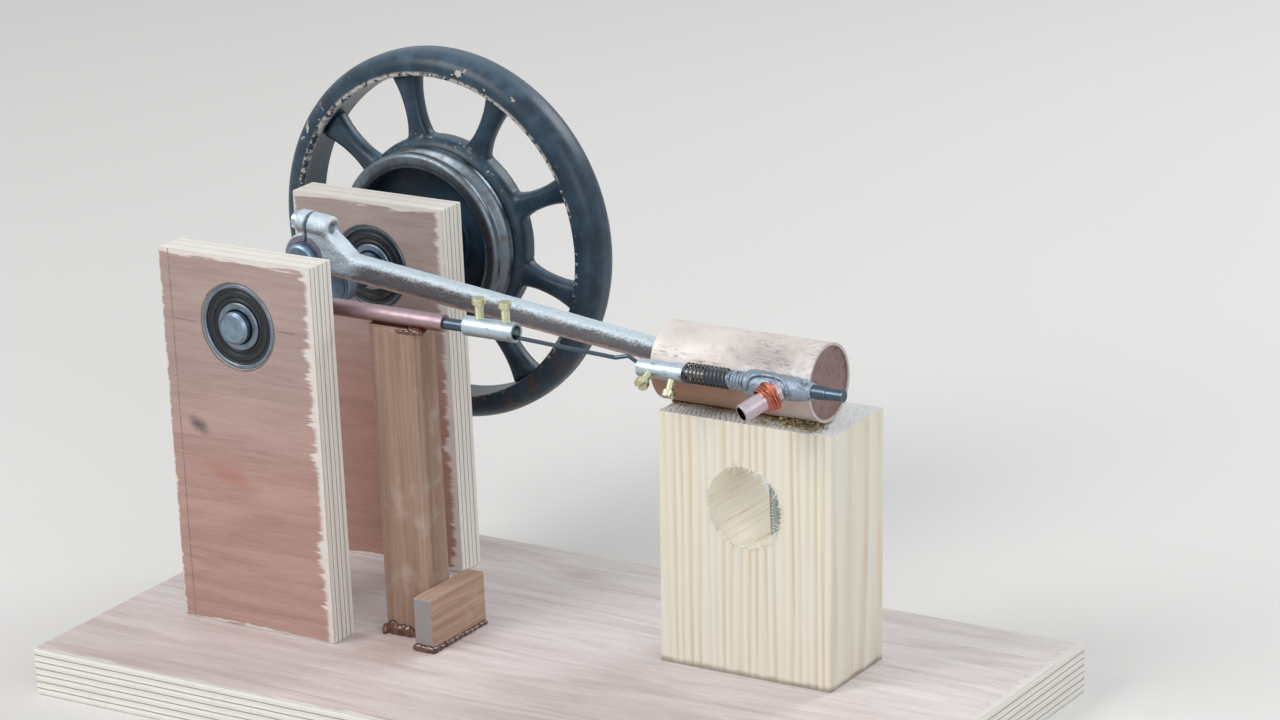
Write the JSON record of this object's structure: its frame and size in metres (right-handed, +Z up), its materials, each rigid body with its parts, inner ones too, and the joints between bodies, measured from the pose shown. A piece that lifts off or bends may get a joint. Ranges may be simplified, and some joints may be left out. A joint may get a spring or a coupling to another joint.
{
  "type": "model steam engine",
  "caption": "Desktop model steam engine: horizontal copper cylinder on a wooden block, crankshaft in ball bearings between plywood uprights, spoked flywheel.",
  "frame": {"origin": "centre of the base board's underside", "axes": "+X from the crank to the cylinder, +Y from the front to the flywheel, +Z up"},
  "size_m": [0.3485, 0.1965, 0.2065],
  "materials": {
    "plywood": "sanded veneer, unfinished",
    "base_plywood": "sanded veneer, stained in places",
    "pine": "sawn and sanded",
    "dark_wood": "sawn, glue stained",
    "bearing_steel": "ground",
    "seal_rubber": "matt",
    "shaft_steel": "turned",
    "dark_steel": "blued",
    "rod_alloy": "cast and filed",
    "bright_steel": "plated",
    "cylinder_brass": "polished",
    "copper": "worn copper",
    "brass": "bright",
    "glue": "dried glue",
    "zinc_steel": "zinc plated",
    "wheel_enamel": "gloss enamel, chipped",
    "polished_steel": "polished",
    "tinned": "tinned, rough",
    "piston_steel": "turned"
  },
  "bodies": {
    "stand": {"base_board": "base_plywood", "front_upright": "plywood", "rear_upright": "plywood", "front_bearing_outer_ring": "bearing_steel", "front_bearing_seal": "seal_rubber", "rear_bearing_outer_ring": "bearing_steel", "rear_bearing_seal": "seal_rubber", "guide_post": "dark_wood", "post_brace": "dark_wood", "guide_saddle": "copper", "guide_tube": "copper", "cylinder_block": "pine", "block_screw": "zinc_steel", "cylinder_bedding": "glue", "cylinder_tube": "cylinder_brass", "cylinder_cap": "copper", "valve_body": "tinned", "valve_plug": "dark_steel", "valve_spring": "dark_steel", "inlet_pipe": "copper", "inlet_collar": "copper"},
    "crankshaft": {"front_bearing_inner_ring": "bearing_steel", "rear_bearing_inner_ring": "bearing_steel", "front_journal": "shaft_steel", "main_shaft": "shaft_steel", "front_crank_web": "dark_steel", "rear_crank_web": "dark_steel", "valve_cam": "shaft_steel", "flywheel_rim": "wheel_enamel", "flywheel_hub": "wheel_enamel", "belt_pulley": "polished_steel"},
    "piston_group": {"piston": "piston_steel", "wrist_pin": "piston_steel"},
    "rod_group": {"connecting_rod": "rod_alloy", "crank_pin": "shaft_steel", "pinch_screw": "bright_steel"},
    "valve_rod": {"push_rod": "dark_steel", "front_coupler": "bright_steel", "front_coupler_left_screw": "brass", "front_coupler_right_screw": "brass", "link_wire": "dark_steel", "rear_coupler": "bright_steel", "rear_coupler_left_screw": "brass", "rear_coupler_right_screw": "brass", "valve_stem": "shaft_steel"}
  },
  "joints": [
    {"name": "crankshaft_turn", "type": "hinge", "parent": "stand", "child": "crankshaft", "pos_m": [-0.106, 0, 0.134], "axis": [0, 1, 0], "continuous": true},
    {"name": "piston_slide", "type": "slide", "parent": "stand", "child": "piston_group", "axis": [1, 0, 0], "range_m": [-0.00741, 0.01881]},
    {"name": "rod_swing", "type": "hinge", "parent": "piston_group", "child": "rod_group", "pos_m": [0.06167, 0.018, 0.1273], "axis": [0, 1, 0], "range_deg": [-8.36, 0.3]},
    {"name": "valve_rod_slide", "type": "slide", "parent": "stand", "child": "valve_rod", "axis": [1, 0, 0], "range_m": [-0.0039, 0], "deforming": ["valve_spring"]}
  ]
}
